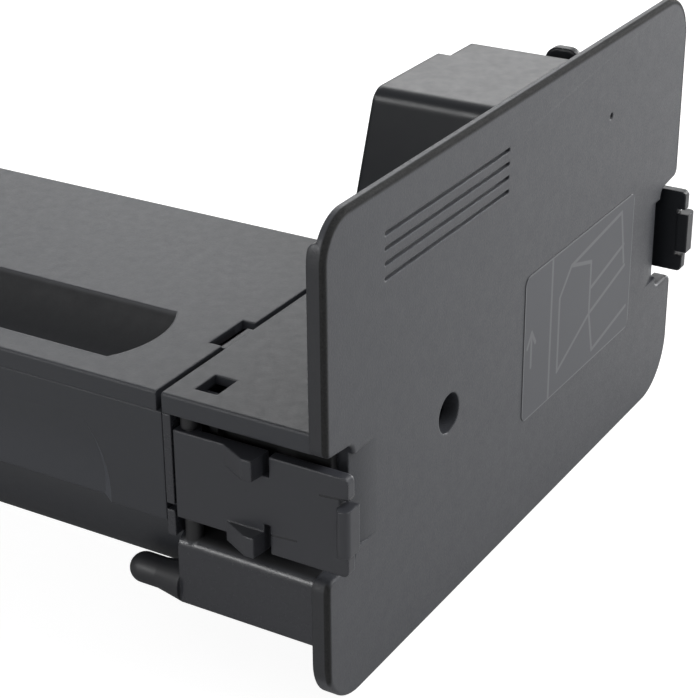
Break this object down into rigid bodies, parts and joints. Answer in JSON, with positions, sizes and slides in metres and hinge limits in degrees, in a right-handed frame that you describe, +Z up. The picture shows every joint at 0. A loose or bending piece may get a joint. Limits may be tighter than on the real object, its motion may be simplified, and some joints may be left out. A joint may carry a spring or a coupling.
{
  "type": "toner cartridge",
  "caption": "Long copier toner cartridge: broad front plate with squeeze latches, waste bin, toner tank with auger and agitator, drive gears and a sliding outlet shutter.",
  "frame": {"origin": "bottom centre of the whole cartridge's bounding box", "axes": "+Y along the cartridge from the front plate into the machine, +X to the right as seen from the front, +Z up"},
  "size_m": [0.165, 0.43, 0.0994],
  "materials": {
    "plate_plastic": "fine even grain",
    "housing_plastic": "fine grain",
    "tank_plastic": "fine grain",
    "bin_plastic": "smooth, slightly glossy",
    "label_film": "satin printed film",
    "gear_plastic": "smooth acetal",
    "agitator_plastic": "smooth",
    "clear_film": "thin polyester sheet",
    "seal_felt": "pressed felt",
    "gasket_foam": "fine cell foam",
    "steel": "drawn wire",
    "zinc_steel": "zinc plated",
    "board_laminate": "solder mask",
    "contact_metal": "gold plated"
  },
  "bodies": {
    "cartridge": {"front_plate": "plate_plastic", "label": "label_film", "front_housing": "housing_plastic", "end_cover": "tank_plastic", "side_cover": "tank_plastic", "waste_bin": "bin_plastic", "waste_bin_cover": "bin_plastic", "latch_pin_left": "steel", "latch_pin_right": "steel", "latch_spring_left": "steel", "latch_spring_right": "steel", "toner_tank": "tank_plastic", "hopper_lid": "tank_plastic", "auger_seal": "seal_felt", "agitator_seal": "seal_felt", "auger_bush": "gear_plastic", "agitator_bush": "gear_plastic", "outlet_frame": "housing_plastic", "outlet_gasket": "gasket_foam", "fill_plug": "tank_plastic", "rear_cover": "tank_plastic", "memory_board": "board_laminate", "contact_pads": "contact_metal", "cover_screws": "zinc_steel"},
    "left_latch": {"latch_left": "housing_plastic"},
    "right_latch": {"latch_right": "housing_plastic"},
    "coupler": {"drive_coupler": "gear_plastic"},
    "auger": {"feed_auger": "agitator_plastic", "auger_gear": "gear_plastic"},
    "agitator": {"agitator_shaft": "agitator_plastic", "agitator_film": "clear_film", "agitator_gear": "gear_plastic"},
    "shutter": {"outlet_shutter": "housing_plastic"}
  },
  "joints": [
    {"name": "left_latch_hinge", "type": "hinge", "parent": "cartridge", "child": "left_latch", "pos_m": [-0.0773, -0.179, 0.0415], "axis": [0, 0, 1], "range_deg": [0, 3.6], "stiffness_Nm_per_rad": 0.6, "springref_deg": -3.44, "deforming": ["latch_spring_left"]},
    {"name": "right_latch_hinge", "type": "hinge", "parent": "cartridge", "child": "right_latch", "pos_m": [0.0773, -0.179, 0.0415], "axis": [0, 0, -1], "range_deg": [0, 3.6], "stiffness_Nm_per_rad": 0.6, "springref_deg": -3.44, "deforming": ["latch_spring_right"]},
    {"name": "agitator_spin", "type": "hinge", "parent": "cartridge", "child": "agitator", "pos_m": [-0.02444, -0.0102, 0.0345], "axis": [0, 1, 0], "continuous": true},
    {"name": "auger_spin", "type": "hinge", "parent": "cartridge", "child": "auger", "pos_m": [-0.0595, -0.0102, 0.027], "axis": [0, 1, 0], "continuous": true},
    {"name": "coupler_spin", "type": "hinge", "parent": "cartridge", "child": "coupler", "pos_m": [-0.0482, 0.204, 0.04228], "axis": [0, 1, 0], "continuous": true},
    {"name": "shutter_slide", "type": "slide", "parent": "cartridge", "child": "shutter", "axis": [0, -1, 0], "range_m": [0, 0.02]}
  ],
  "couplings": [
    {"joint": "coupler_spin", "follows": "agitator_spin", "ratio": -2.125},
    {"joint": "auger_spin", "follows": "agitator_spin", "ratio": 1.5455}
  ]
}
